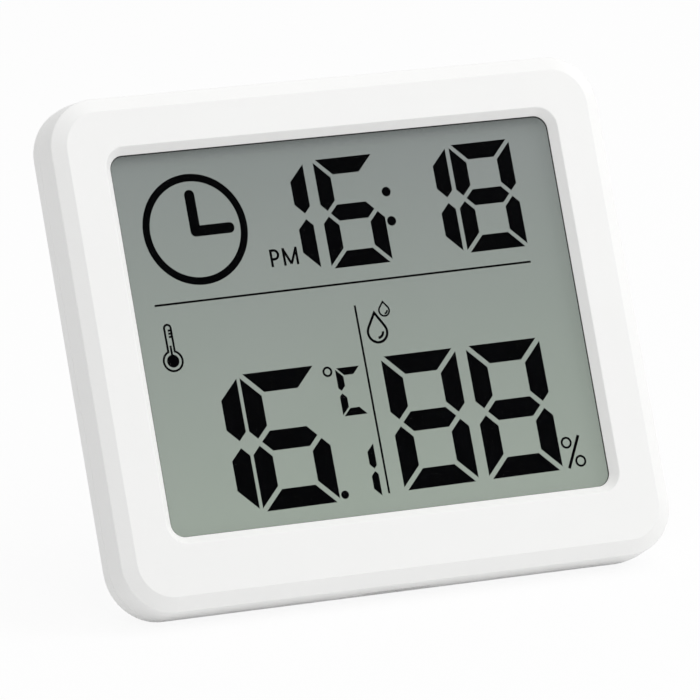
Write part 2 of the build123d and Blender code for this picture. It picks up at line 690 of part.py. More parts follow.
def make_lcd_gasket():
    frame = glass_outline(glass_bottom, 0) - window_outline(GASKET_SETBACK)
    return slab(frame, DISPLAY_SEAT, display_front)


def make_lcd_seal():
    frame = glass_outline(-glass_top, 0) - glass_outline(-glass_top, -SEAL_WIDTH)
    return slab(frame, cell_gap_depth, rear_glass_depth)


def make_zebra_connector():
    half = glass_half_width - ZEBRA_END_INSET
    middle = glass_bottom + GLASS_LEDGE / 2
    strip = span(-half, half, middle - ZEBRA_WIDTH / 2, middle + ZEBRA_WIDTH / 2)
    return slab(strip, cell_gap_depth, board_front)


def make_lcd_support_pads():
    pad = slab(Rectangle(PAD_LENGTH, PAD_WIDTH), display_back, board_front)
    return gather([Pos(*display_place(shares)) * pad for shares in PAD_PLACE_SHARES])


def display_place(shares):
    """Point of the display from its shares of the width and height."""
    return shares[0] * DISPLAY_WIDTH, shares[1] * DISPLAY_HEIGHT


def lit_digit(lit, shares, size_shares, stroke):
    """Lit bars of a seven-segment digit whose lower left corner is at a place of the display."""
    width, height = display_place(size_shares)
    gap = stroke * SEGMENT_GAP_SHARE
    tip = stroke * SEGMENT_TIP_SHARE
    middle = height / 2
    half = stroke / 2
    top = (
        (gap, height),
        (width - gap, height),
        (width - gap - stroke, height - stroke),
        (gap + stroke, height - stroke),
    )
    upper = (
        (0, height - gap),
        (stroke, height - gap - stroke),
        (stroke, middle + gap + stroke - tip),
        (tip, middle + gap),
        (0, middle + gap + tip),
    )
    near = tip + gap
    cross = (
        (near, middle),
        (near + half, middle + half),
        (width - near - half, middle + half),
        (width - near, middle),
        (width - near - half, middle - half),
        (near + half, middle - half),
    )
    bars = {
        "a": top,
        "b": [(width - x, y) for x, y in upper],
        "c": [(width - x, height - y) for x, y in upper],
        "d": [(x, height - y) for x, y in top],
        "e": [(x, height - y) for x, y in upper],
        "f": upper,
        "g": cross,
    }
    corner = Pos(*display_place(shares))
    return [corner * Polygon(*bars[name], align=None) for name in lit]


def digits():
    """Bars of the time, of the two readings, of the tenths and of the unit letter."""
    rows = (
        (TIME_DIGIT_SHARES, TIME_BASE_SHARE, TIME_SIZE_SHARES, TIME_STROKE),
        (TEMPERATURE_DIGIT_SHARES, TEMPERATURE_BASE_SHARE, TEMPERATURE_SIZE_SHARES, READING_STROKE),
        (HUMIDITY_DIGIT_SHARES, HUMIDITY_BASE_SHARE, HUMIDITY_SIZE_SHARES, READING_STROKE),
        (TENTHS_DIGIT_SHARES, TENTHS_BASE_SHARE, TENTHS_SIZE_SHARES, SMALL_STROKE),
        (CELSIUS_DIGIT_SHARES, CELSIUS_BASE_SHARE, CELSIUS_SIZE_SHARES, SMALL_STROKE),
    )
    shapes = []
    for row, base, size_shares, stroke in rows:
        for lit, left in row:
            shapes += lit_digit(lit, (left, base), size_shares, stroke)
    return shapes


def signs():
    """Dots, rules, degree ring and percent sign."""
    shapes = [Pos(*display_place(shares)) * Circle(COLON_RADIUS) for shares in COLON_SHARES]
    shapes.append(Pos(*display_place(POINT_SHARES)) * Circle(POINT_RADIUS))
    shapes.append(Pos(*display_place(DEGREE_SHARES)) * ring(DEGREE_RADIUS, FINE_STROKE))
    for shares in PERCENT_RING_SHARES:
        shapes.append(Pos(*display_place(shares)) * ring(PERCENT_RADIUS, FINE_STROKE))
    shapes.append(bar(*map(display_place, PERCENT_SLASH_SHARES), PERCENT_STROKE))
    for ends in (LEVEL_RULE_SHARES, UPRIGHT_RULE_SHARES):
        shapes.append(bar(*map(display_place, ends), RULE_STROKE))
    return shapes


def clock_icon():
    reach = HAND_LENGTH - HAND_STROKE / 2
    hands = Circle(HAND_STROKE / 2)
    for end in ((reach, 0), (0, reach)):
        hands += bar((0, 0), end, HAND_STROKE)
        hands += Pos(*end) * Circle(HAND_STROKE / 2)
    centre = Pos(*display_place(CLOCK_SHARES))
    return [centre * ring(CLOCK_RADIUS, CLOCK_STROKE), centre * Pos(0, -HAND_DROP) * hands]


def half_day_letters():
    """The letters P and M, drawn from bars."""
    bowl = LETTER_HEIGHT / 4
    half = LETTER_STROKE / 2
    arm = LETTER_P_WIDTH - bowl - half
    bowl_y = LETTER_HEIGHT - bowl - half
    letter_p = bar((half, 0), (half, LETTER_HEIGHT), LETTER_STROKE)
    for y in (bowl_y - bowl, bowl_y + bowl):
        letter_p += bar((0, y), (arm, y), LETTER_STROKE)
    right_half = span(arm, LETTER_P_WIDTH, 0, LETTER_HEIGHT)
    letter_p += Pos(arm, bowl_y) * ring(bowl + half, LETTER_STROKE) & right_half
    letter_m = Sketch()
    for x in (half, LETTER_M_WIDTH - half):
        letter_m += bar((x, 0), (x, LETTER_HEIGHT), LETTER_STROKE)
        letter_m += bar((x, LETTER_HEIGHT - half), (LETTER_M_WIDTH / 2, half), LETTER_STROKE)
    return [Pos(*display_place(LETTER_P_SHARES)) * letter_p, Pos(*display_place(LETTER_M_SHARES)) * letter_m]


def thermometer_icon():
    half = TUBE_WIDTH / 2

    def glass(inset):
        crown = TUBE_HEIGHT - half
        tube = span(inset - half, half - inset, 0, crown) + Pos(0, crown) * Circle(half - inset)
        return tube + Circle(BULB_RADIUS - inset)

    outline = glass(0) - glass(FINE_STROKE)
    for share in TICK_RISE_SHARES:
        tick_y = share * TUBE_HEIGHT
        outline += bar((half - TICK_LENGTH, tick_y), (half - FINE_STROKE / 2, tick_y), FINE_STROKE)
    column = Circle(BULB_FILL_RADIUS) + bar((0, 0), (0, COLUMN_HEIGHT), COLUMN_WIDTH)
    centre = Pos(*display_place(BULB_SHARES))
    return [centre * outline, centre * column]


def drop_face(radius, rise):
    """Filled drop: a circle with a point at a height above its centre."""
    tangent = math.acos(radius / rise)
    side_x = radius * math.sin(tangent)
    side_y = radius * math.cos(tangent)
    return Circle(radius) + Polygon((0, rise), (-side_x, side_y), (0, 0), (side_x, side_y), align=None)


def drop_icon(shares, radius, rise, stroke):
    """Outline of a drop with a curved glint in it."""
    inner_rise = rise * (radius - stroke) / radius
    glint_radius = radius * GLINT_RADIUS_SHARE + stroke / 2
    quarter = span(0, radius, -radius, 0)
    glint = ring(glint_radius, stroke) & quarter
    centre = Pos(*display_place(shares))
    return [centre * (drop_face(radius, rise) - drop_face(radius - stroke, inner_rise)), centre * glint]


def make_lcd_segments():
    shapes = digits() + signs() + clock_icon() + half_day_letters() + thermometer_icon()
    shapes += drop_icon(DROP_SHARES, DROP_RADIUS, DROP_RISE, DROP_STROKE)
    shapes += drop_icon(SMALL_DROP_SHARES, SMALL_DROP_RADIUS, SMALL_DROP_RISE, SMALL_DROP_STROKE)
    front = cell_gap_depth + CRYSTAL_SKIN
    back = rear_glass_depth - CRYSTAL_SKIN
    seated = Pos(FIGURES_ASIDE, FIGURES_RISE) * Rot(0, 0, FIGURES_TURN)
    return gather([slab(seated * shape, front, back) for shape in shapes])


parts = {
    "front_shell": make_front_shell(),
    "rear_cover": make_rear_cover(),
    "lcd_gasket": make_lcd_gasket(),
    "front_polariser": slab(window_outline(POLARISER_MARGIN), display_front, polariser_back),
    "lcd_front_glass": slab(glass_outline(glass_bottom, 0), front_glass_depth, cell_gap_depth),
    "lcd_segments": make_lcd_segments(),
    "lcd_seal": make_lcd_seal(),
    "lcd_rear_glass": slab(glass_outline(-glass_top, 0), rear_glass_depth, rear_glass_back),
    "lcd_reflector": slab(glass_outline(-glass_top, -REFLECTOR_SETBACK), reflector_depth, display_back),
    "zebra_connector": make_zebra_connector(),
    "lcd_support_pads": make_lcd_support_pads(),
    "circuit_board": make_circuit_board(),
    "controller_blob": make_controller_blob(),
    "watch_crystal": make_watch_crystal(),
    "smd_passives": make_smd_passives(),
    "humidity_sensor": make_humidity_sensor(),
    "thermistor": make_thermistor(),
    "tact_switches": make_tact_switches(),
    "board_screws": make_board_screws(),
    "coin_cell": make_coin_cell(),
    "negative_contact": make_negative_contact(),
    "positive_contact": make_positive_contact(),
    "battery_door": make_battery_door(),
    "stand_flap": make_stand_flap(),
    "stand_pin": make_stand_pin(),
}
for key_name, key_y in key_rows.items():
    parts[f"{key_name}_button"] = make_key(key_y)
    parts[f"{key_name}_plunger"] = make_plunger(key_y)

# Lean the clock back on its stand, with its taper face and its foot on the table and its box over the origin
leaning = Rot(90 - LEAN_ANGLE, 0, 0)
box = Compound(children=[leaning * part for part in parts.values()]).bounding_box()
case_to_table = Pos(0, -box.center().Y, -table_level) * leaning

os.makedirs("parts", exist_ok=True)
for name, part in parts.items():
    export_step(case_to_table * part, f"parts/{name}.step")
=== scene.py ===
import json
import math

import bmesh
import bpy
from mathutils import Matrix, Vector


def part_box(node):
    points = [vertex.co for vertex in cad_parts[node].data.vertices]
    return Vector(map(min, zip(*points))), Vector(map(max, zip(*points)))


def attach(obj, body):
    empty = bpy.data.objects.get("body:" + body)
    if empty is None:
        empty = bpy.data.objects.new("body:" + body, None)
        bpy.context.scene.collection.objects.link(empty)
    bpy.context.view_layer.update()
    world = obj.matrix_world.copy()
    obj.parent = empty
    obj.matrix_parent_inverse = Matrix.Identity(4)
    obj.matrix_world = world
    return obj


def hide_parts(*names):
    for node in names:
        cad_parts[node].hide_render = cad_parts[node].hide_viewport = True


# A white table clock with a reflective segment display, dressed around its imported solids. Metres.

MM = 0.001
MERGE_DISTANCE = 0.001 * MM
FULL_TURN = 360.0
QUARTER_TURN = 90.0
WAVE_TURN = 20.0  # radians that a wave texture turns in one unit

# Camera, from the photograph: a long lens, a little to the clock's left
CAMERA_AZIMUTH = math.radians(25.25)
CAMERA_ELEVATION = math.radians(13.61)
CAMERA_DISTANCE = 878.5 * MM
CAMERA_AIM = Vector((-2.97, -5.81, 31.60)) * MM
CAMERA_LENS_SHARE = 9.587  # focal length as a share of the sensor's width
SENSOR_WIDTH = 36.0

# Studio: place, width and power in watts of each soft lamp, and the room's own light
LAMPS = {
    "right_lamp": (Vector((0.95, -0.40, 0.75)), 0.7, 4.4),
    "top_lamp": (Vector((0.20, 0.05, 1.15)), 0.7, 2.2),
    "front_lamp": (Vector((-0.10, -0.85, 0.80)), 0.7, 1.7),
    "back_lamp": (Vector((0.85, 1.00, 0.10)), 0.4, 1.6),
}
ROOM_STRENGTH = 0.57
FLOOR_SIZE = 6.0
FLOOR_WHITE_SHARE = 0.90

# Height over which the frame's lip shades the top of the display
LIP_SHADE_REACH = 4 * MM

# Foam gasket of the display: how far its inner edge swells inwards, and how far that edge is lowered; the
# black line it makes is partly painted shade
GASKET_SWELL = 0.6 * MM
GASKET_DROP = 0.05 * MM

# Relief moulded on the back, in millimetres and degrees
MARK_HEIGHT = 0.3
MARK_ROUND = 0.05
MARK_ROUND_STEPS = 2
MARK_ARC_POINTS = 32
MARK_STROKE = 0.42
DIAL_RADIUS = 1.6
DIAL_HAND = 0.85
KEY_ARROW_SIZE = 2.8
ARROW_SIZE = 1.3
ARROW_BARB_ANGLE = 150.0  # from the way that the tip points, so that all three sides are alike
DEGREE_RADIUS = 0.66
DEGREE_PLACE = (-1.1, 0.85)
LETTER_RADIUS = 1.0
LETTER_PLACE = (0.55, -0.1)
LETTER_GAP_ANGLE = 50.0
LOCK_DOT_RADIUS = 0.75
LOCK_RING_RADIUS = 13.6
LOCK_CLOSED_ANGLE = -95.0
LOCK_ARROW_GAP = 11.0
DOOR_POINTER_RADIUS = 10.0
PLUS_HEIGHT = 4.8
PLUS_SIZE = 3.0

# Grip ribs near the stand's foot, in millimetres
RIB_COUNT = 5
RIB_PITCH = 2.0
RIB_LENGTH = 11.0
RIB_RADIUS = 0.5
RIB_RISE = 0.35
RIB_FOOT_GAP = 4.0
RIB_STEPS = 25
RIB_SIDES = 20
RIB_END_POWER = 8.0

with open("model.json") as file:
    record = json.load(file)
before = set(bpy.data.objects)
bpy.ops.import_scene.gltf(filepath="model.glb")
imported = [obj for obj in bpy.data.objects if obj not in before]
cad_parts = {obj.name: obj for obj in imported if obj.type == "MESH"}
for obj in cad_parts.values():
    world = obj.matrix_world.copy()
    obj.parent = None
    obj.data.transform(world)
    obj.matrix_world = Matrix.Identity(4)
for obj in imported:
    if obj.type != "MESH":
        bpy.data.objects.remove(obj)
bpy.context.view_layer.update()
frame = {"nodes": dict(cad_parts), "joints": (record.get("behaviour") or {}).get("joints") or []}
nodes = frame["nodes"]
joints = {joint["name"]: joint for joint in frame["joints"]}

# Directions of the leaning case: to the right of its face, straight out of its back, and up its back
RIGHT = Vector((1, 0, 0))
BACK = Vector(joints["door_turn"]["axis"])
UP = RIGHT.cross(BACK)
UPRIGHT_TURN = (math.asin(UP.y) - math.pi / 2, 0, 0)  # lays the leaning case's face in X and Y


# Colours and node trees
def linear(code):
    """Scene-linear RGBA of an sRGB hex colour."""
    channels = [int(code[start:start + 2], 16) / 255 for start in (1, 3, 5)]
    return [c / 12.92 if c <= 0.04045 else ((c + 0.055) / 1.055) ** 2.4 for c in channels] + [1.0]


def add(tree, kind, inputs=None, **settings):
    """Adds a node with its settings; each input is a value or the socket that feeds it."""
    node = tree.nodes.new(kind)
    for name, value in settings.items():
        setattr(node, name, value)
    for name, value in (inputs or {}).items():
        socket = node.inputs[name]
        if isinstance(value, bpy.types.NodeSocket):
            tree.links.new(value, socket)
        else:
            socket.default_value = value
    return node


def new_finish(name):
    """An empty material, its tree, and the piece's own coordinates in it."""
    material = bpy.data.materials.new(name)
    material.use_nodes = True
    tree = material.node_tree
    tree.nodes.clear()
    return material, tree, add(tree, "ShaderNodeTexCoord").outputs["Object"]


def wave_scale(pitch):
    """Scale at which a wave texture repeats at a pitch."""
    return 2 * math.pi / (WAVE_TURN * pitch)


# Materials
def spark_eroded_abs():
    """White ABS moulded in a spark-eroded tool: an even satin skin with wide, soft highlights.
    Its pebble is about 0.05 mm, too fine to show, so it is drawn six times coarser."""
    melt_size = 14 * MM
    patch_size = 3 * MM
    pebble_size = 0.3 * MM
    pebble_height = 0.01 * MM
    material, tree, place = new_finish("spark_eroded_abs")
    melt = add(tree, "ShaderNodeTexNoise", {"Vector": place, "Scale": 1 / melt_size})
    patch = add(tree, "ShaderNodeTexNoise", {"Vector": place, "Scale": 1 / patch_size})
    pebble = add(tree, "ShaderNodeTexNoise", {"Vector": place, "Scale": 1 / pebble_size, "Detail": 3.0})
    colour = add(tree, "ShaderNodeMix", {
        0: melt.outputs["Fac"], 6: linear("#f3f3f2"), 7: linear("#f6f6f5"),
    }, data_type="RGBA")
    rough = add(tree, "ShaderNodeMapRange", {"Value": patch.outputs["Fac"], "To Min": 0.40, "To Max": 0.50})
    bump = add(tree, "ShaderNodeBump", {
        "Height": pebble.outputs["Fac"], "Strength": 0.35, "Distance": pebble_height,
    })
    shader = add(tree, "ShaderNodeBsdfPrincipled", {
        "Base Color": colour.outputs[2],
        "Roughness": rough.outputs["Result"],
        "IOR": 1.53,
        "Normal": bump.outputs["Normal"],
    })
    add(tree, "ShaderNodeOutputMaterial", {"Surface": shader.outputs["BSDF"]})
    return material


def polished_abs():
    """White ABS moulded in a polished tool: smoother and a little cooler than the case, with a faint
    ripple that breaks up its highlights."""
    melt_size = 9 * MM
    ripple_size = 1.2 * MM
    ripple_height = 0.01 * MM
    material, tree, place = new_finish("polished_abs")
    melt = add(tree, "ShaderNodeTexNoise", {"Vector": place, "Scale": 1 / melt_size})
    ripple = add(tree, "ShaderNodeTexNoise", {"Vector": place, "Scale": 1 / ripple_size})
    colour = add(tree, "ShaderNodeMix", {
        0: melt.outputs["Fac"], 6: linear("#eff0f0"), 7: linear("#f2f3f3"),
    }, data_type="RGBA")
    rough = add(tree, "ShaderNodeMapRange", {"Value": ripple.outputs["Fac"], "To Min": 0.26, "To Max": 0.34})
    bump = add(tree, "ShaderNodeBump", {
        "Height": ripple.outputs["Fac"], "Strength": 0.25, "Distance": ripple_height,
    })
    shader = add(tree, "ShaderNodeBsdfPrincipled", {
        "Base Color": colour.outputs[2],
        "Roughness": rough.outputs["Result"],
        "IOR": 1.53,
        "Normal": bump.outputs["Normal"],
    })
    add(tree, "ShaderNodeOutputMaterial", {"Surface": shader.outputs["BSDF"]})
    return material


def matt_coated_film():
    """Polariser film with a matt hard coat: clear from the front, with a blurred sheen that only shows
    at a low angle. The coat's grit is about 0.02 mm and is drawn as 0.4 mm."""
    grit_size = 0.4 * MM
    material, tree, place = new_finish("matt_coated_film")
    grit = add(tree, "ShaderNodeTexNoise", {"Vector": place, "Scale": 1 / grit_size})
    rough = add(tree, "ShaderNodeMapRange", {"Value": grit.outputs["Fac"], "To Min": 0.24, "To Max": 0.34})
    through = add(tree, "ShaderNodeBsdfTransparent", {"Color": linear("#f6f7f6")})
    sheen = add(tree, "ShaderNodeBsdfGlossy", {"Roughness": rough.outputs["Result"]})
    edge = add(tree, "ShaderNodeLayerWeight", {"Blend": 0.1})
    share = add(tree, "ShaderNodeMath", {0: edge.outputs["Facing"], 1: 2.0}, operation="POWER")
    shader = add(tree, "ShaderNodeMixShader", {
        0: share.outputs["Value"], 1: through.outputs["BSDF"], 2: sheen.outputs["BSDF"],
    })
    add(tree, "ShaderNodeOutputMaterial", {"Surface": shader.outputs["Shader"]})
    return material


def thin_float_glass():
    """Float glass of the display cell, bonded on both sides: almost nothing to see but a trace of green
    that drifts across the plate."""
    drift_size = 20 * MM
    material, tree, place = new_finish("thin_float_glass")
    drift = add(tree, "ShaderNodeTexNoise", {"Vector": place, "Scale": 1 / drift_size})
    tint = add(tree, "ShaderNodeMix", {
        0: drift.outputs["Fac"], 6: linear("#fafcfb"), 7: linear("#fcfdfd"),
    }, data_type="RGBA")
    through = add(tree, "ShaderNodeBsdfTransparent", {"Color": tint.outputs[2]})
    sheen = add(tree, "ShaderNodeBsdfGlossy", {"Roughness": 0.05})
    edge = add(tree, "ShaderNodeLayerWeight", {"Blend": 0.1})
    share = add(tree, "ShaderNodeMath", {0: edge.outputs["Facing"], 1: 3.0}, operation="POWER")
    shader = add(tree, "ShaderNodeMixShader", {
        0: share.outputs["Value"], 1: through.outputs["BSDF"], 2: sheen.outputs["BSDF"],
    })
    add(tree, "ShaderNodeOutputMaterial", {"Surface": shader.outputs["Shader"]})
    return material


def pearl_reflector_film():
    """Aluminised reflector laminated behind the cell, under a grey green polariser: a blurred metal that
    shows the room as an even tone. Its colour darkens up the display as painted shade, and is darker still
    at its top as a painted shadow of the frame's lip. Its flakes are about 0.03 mm and are drawn as 0.25 mm."""
    flake_size = 0.25 * MM
    bottom, top = (corner[2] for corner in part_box("lcd_reflector"))
    material, tree, place = new_finish("pearl_reflector_film")
    flake = add(tree, "ShaderNodeTexNoise", {"Vector": place, "Scale": 1 / flake_size, "Detail": 1.0})
    height = add(tree, "ShaderNodeSeparateXYZ", {"Vector": place}).outputs["Z"]
    # Painted shade: the film's colour darkens towards the top of the display.
    deep = add(tree, "ShaderNodeMapRange", {"Value": height, "From Min": bottom, "From Max": top})
    film = add(tree, "ShaderNodeMix", {
        0: deep.outputs["Result"], 6: linear("#b0b5ad"), 7: linear("#999a9b"),
    }, data_type="RGBA")
    # Painted shadow of the frame's lip, darkening the film's top edge.
    overhung = add(tree, "ShaderNodeMapRange", {
        "Value": height, "From Min": top - LIP_SHADE_REACH, "From Max": top,
    })
    shade = add(tree, "ShaderNodeMath", {0: overhung.outputs["Result"], 1: 3.0}, operation="POWER")
    colour = add(tree, "ShaderNodeMix", {
        0: shade.outputs["Value"], 6: film.outputs[2], 7: linear("#3a3c3c"),
    }, data_type="RGBA")
    rough = add(tree, "ShaderNodeMapRange", {"Value": flake.outputs["Fac"], "To Min": 0.18, "To Max": 0.28})
    shader = add(tree, "ShaderNodeBsdfPrincipled", {
        "Base Color": colour.outputs[2],
        "Roughness": rough.outputs["Result"],
        "Metallic": 0.85,
        "Specular IOR Level": 0.0,
    })
    add(tree, "ShaderNodeOutputMaterial", {"Surface": shader.outputs["BSDF"]})
    return material


def dark_liquid_crystal():
    """Driven liquid crystal between the plates: near black with a trace of blue, slightly uneven, and
    without gloss because glass lies on both sides."""
    patch_size = 1.5 * MM
    material, tree, place = new_finish("dark_liquid_crystal")
    uneven = add(tree, "ShaderNodeTexNoise", {"Vector": place, "Scale": 1 / patch_size})
    colour = add(tree, "ShaderNodeMix", {
        0: uneven.outputs["Fac"], 6: linear("#050506"), 7: linear("#0a0a0c"),
    }, data_type="RGBA")
    shader = add(tree, "ShaderNodeBsdfPrincipled", {
        "Base Color": colour.outputs[2],
        "Roughness": 0.6,
        "Specular IOR Level": 0.0,
    })
    add(tree, "ShaderNodeOutputMaterial", {"Surface": shader.outputs["BSDF"]})
    return material


def die_cut_foam():
    """Black polyurethane foam, die cut: open cells of about 0.4 mm make it dull and sooty."""
    cell_size = 0.4 * MM
    cell_depth = 0.1 * MM
    material, tree, place = new_finish("die_cut_foam")
    cell = add(tree, "ShaderNodeTexVoronoi", {"Vector": place, "Scale": 1 / cell_size})
    colour = add(tree, "ShaderNodeMix", {
        0: cell.outputs["Distance"], 6: linear("#0c0c0c"), 7: linear("#1e1e1e"),
    }, data_type="RGBA")
    bump = add(tree, "ShaderNodeBump", {
        "Height": cell.outputs["Distance"], "Strength": 0.8, "Distance": cell_depth,
    })
    shader = add(tree, "ShaderNodeBsdfPrincipled", {
        "Base Color": colour.outputs[2],
        "Roughness": 0.95,
        "Normal": bump.outputs["Normal"],
    })
    add(tree, "ShaderNodeOutputMaterial", {"Surface": shader.outputs["BSDF"]})
    return material


def screen_printed_epoxy():
    """Epoxy seal screen printed round the cell: a dull straw colour with fine mesh specks of 0.3 mm."""
    speck_size = 0.3 * MM
    material, tree, place = new_finish("screen_printed_epoxy")
    speck = add(tree, "ShaderNodeTexNoise", {"Vector": place, "Scale": 1 / speck_size})
    colour = add(tree, "ShaderNodeMix", {
        0: speck.outputs["Fac"], 6: linear("#b4b2a2"), 7: linear("#c6c4b6"),
    }, data_type="RGBA")
    shader = add(tree, "ShaderNodeBsdfPrincipled", {
        "Base Color": colour.outputs[2],
        "Roughness": 0.45,
        "IOR": 1.55,
    })
    add(tree, "ShaderNodeOutputMaterial", {"Surface": shader.outputs["BSDF"]})
    return material


def striped_silicone_rubber():
    """Silicone strip of clear and carbon-filled layers: pink and black stripes, soft and dull.
    The layers are 0.05 mm thick and are drawn at a 0.5 mm pitch."""
    layer_pitch = 0.5 * MM
    material, tree, place = new_finish("striped_silicone_rubber")
    layer = add(tree, "ShaderNodeTexWave", {"Vector": place, "Scale": wave_scale(layer_pitch)})
    crisp = add(tree, "ShaderNodeMapRange", {"Value": layer.outputs["Fac"], "From Min": 0.4, "From Max": 0.6})
    colour = add(tree, "ShaderNodeMix", {
        0: crisp.outputs["Result"], 6: linear("#2a2726"), 7: linear("#cfa899"),
    }, data_type="RGBA")
    rough = add(tree, "ShaderNodeMapRange", {
        "Value": crisp.outputs["Result"], "To Min": 0.75, "To Max": 0.55,
    })
    shader = add(tree, "ShaderNodeBsdfPrincipled", {
        "Base Color": colour.outputs[2],
        "Roughness": rough.outputs["Result"],
        "IOR": 1.41,
    })
    add(tree, "ShaderNodeOutputMaterial", {"Surface": shader.outputs["BSDF"]})
    return material


def masked_fibreglass():
    """Fibreglass board under green solder mask: a smooth lacquer with the glass cloth, woven at 0.5 mm,
    just showing through it."""
    thread_pitch = 0.5 * MM
    thread_height = 0.02 * MM
    material, tree, place = new_finish("masked_fibreglass")
    upright = add(tree, "ShaderNodeMapping", {"Vector": place, "Rotation": UPRIGHT_TURN}).outputs["Vector"]
    warp = add(tree, "ShaderNodeTexWave", {"Vector": upright, "Scale": wave_scale(thread_pitch)})
    weft = add(tree, "ShaderNodeTexWave", {
        "Vector": upright, "Scale": wave_scale(thread_pitch),
    }, bands_direction="Y")
    cloth = add(tree, "ShaderNodeMath", {
        0: warp.outputs["Fac"], 1: weft.outputs["Fac"],
    }, operation="MULTIPLY")
    colour = add(tree, "ShaderNodeMix", {
        0: cloth.outputs["Value"], 6: linear("#0c4722"), 7: linear("#155f32"),
    }, data_type="RGBA")
    bump = add(tree, "ShaderNodeBump", {
        "Height": cloth.outputs["Value"], "Strength": 0.3, "Distance": thread_height,
    })
    shader = add(tree, "ShaderNodeBsdfPrincipled", {
        "Base Color": colour.outputs[2],
        "Roughness": 0.3,
        "IOR": 1.55,
        "Normal": bump.outputs["Normal"],
    })
    add(tree, "ShaderNodeOutputMaterial", {"Surface": shader.outputs["BSDF"]})
    return material


def cast_black_epoxy():
    """Black epoxy poured and cured in the open: a glossy skin with slow waves about 2 mm apart."""
    wave_size = 2 * MM
    wave_height = 0.1 * MM
    material, tree, place = new_finish("cast_black_epoxy")
    wave = add(tree, "ShaderNodeTexNoise", {"Vector": place, "Scale": 1 / wave_size})
    colour = add(tree, "ShaderNodeMix", {
        0: wave.outputs["Fac"], 6: linear("#0a0a0b"), 7: linear("#141415"),
    }, data_type="RGBA")
    rough = add(tree, "ShaderNodeMapRange", {"Value": wave.outputs["Fac"], "To Min": 0.18, "To Max": 0.34})
    bump = add(tree, "ShaderNodeBump", {
        "Height": wave.outputs["Fac"], "Strength": 0.4, "Distance": wave_height,
    })
    shader = add(tree, "ShaderNodeBsdfPrincipled", {
        "Base Color": colour.outputs[2],
        "Roughness": rough.outputs["Result"],
        "IOR": 1.56,
        "Normal": bump.outputs["Normal"],
    })
    add(tree, "ShaderNodeOutputMaterial", {"Surface": shader.outputs["BSDF"]})
    return material


def nickel_plated_can():
    """Deep-drawn steel can with bright nickel: a clean metal with draw lines 0.2 mm apart that blur what
    it mirrors along them."""
    line_length = 5 * MM
    line_gap = 0.2 * MM
    material, tree, place = new_finish("nickel_plated_can")
    drawn = add(tree, "ShaderNodeMapping", {
        "Vector": place, "Scale": (1 / line_length, 1 / line_gap, 1 / line_gap),
    })
    line = add(tree, "ShaderNodeTexNoise", {"Vector": drawn.outputs["Vector"], "Scale": 1.0})
    colour = add(tree, "ShaderNodeMix", {
        0: line.outputs["Fac"], 6: linear("#c6c4bf"), 7: linear("#d6d4cf"),
    }, data_type="RGBA")
    rough = add(tree, "ShaderNodeMapRange", {"Value": line.outputs["Fac"], "To Min": 0.2, "To Max": 0.36})
    shader = add(tree, "ShaderNodeBsdfPrincipled", {
        "Base Color": colour.outputs[2],
        "Roughness": rough.outputs["Result"],
        "Metallic": 1.0,
    })
    add(tree, "ShaderNodeOutputMaterial", {"Surface": shader.outputs["BSDF"]})
    return material


def rolled_bronze_strip():
    """Phosphor bronze rolled to strip and stamped: a warm metal with rolling lines 0.15 mm apart."""
    line_length = 4 * MM
    line_gap = 0.15 * MM
    material, tree, place = new_finish("rolled_bronze_strip")
    rolled = add(tree, "ShaderNodeMapping", {
        "Vector": place, "Scale": (1 / line_length, 1 / line_gap, 1 / line_gap),
    })
    line = add(tree, "ShaderNodeTexNoise", {"Vector": rolled.outputs["Vector"], "Scale": 1.0})
    colour = add(tree, "ShaderNodeMix", {
        0: line.outputs["Fac"], 6: linear("#b98d5e"), 7: linear("#cda474"),
    }, data_type="RGBA")
    rough = add(tree, "ShaderNodeMapRange", {"Value": line.outputs["Fac"], "To Min": 0.26, "To Max": 0.4})
    shader = add(tree, "ShaderNodeBsdfPrincipled", {
        "Base Color": colour.outputs[2],
        "Roughness": rough.outputs["Result"],
        "Metallic": 1.0,
    })
    add(tree, "ShaderNodeOutputMaterial", {"Surface": shader.outputs["BSDF"]})
    return material


def turned_steel():
    """Zinc-plated turned steel: a cool grey metal, its tool marks 0.1 mm apart drawn at 0.25 mm."""
    mark_gap = 0.25 * MM
    material, tree, place = new_finish("turned_steel")
    mark = add(tree, "ShaderNodeTexNoise", {"Vector": place, "Scale": 1 / mark_gap, "Detail": 3.0})
    colour = add(tree, "ShaderNodeMix", {
        0: mark.outputs["Fac"], 6: linear("#b3b5b8"), 7: linear("#c8cacd"),
    }, data_type="RGBA")
    rough = add(tree, "ShaderNodeMapRange", {"Value": mark.outputs["Fac"], "To Min": 0.28, "To Max": 0.42})
    shader = add(tree, "ShaderNodeBsdfPrincipled", {
        "Base Color": colour.outputs[2],
        "Roughness": rough.outputs["Result"],
        "Metallic": 1.0,
    })
    add(tree, "ShaderNodeOutputMaterial", {"Surface": shader.outputs["BSDF"]})
    return material


def fired_ceramic():
    """Barium titanate chips, pressed and fired: matt tan bodies with a sandy grain of 0.15 mm."""
    grain_size = 0.15 * MM
    material, tree, place = new_finish("fired_ceramic")
    sand = add(tree, "ShaderNodeTexNoise", {"Vector": place, "Scale": 1 / grain_size})
    colour = add(tree, "ShaderNodeMix", {
        0: sand.outputs["Fac"], 6: linear("#a98a63"), 7: linear("#bfa27c"),
    }, data_type="RGBA")
    shader = add(tree, "ShaderNodeBsdfPrincipled", {
        "Base Color": colour.outputs[2],
        "Roughness": 0.6,
        "IOR": 1.7,
    })
    add(tree, "ShaderNodeOutputMaterial", {"Surface": shader.outputs["BSDF"]})
    return material


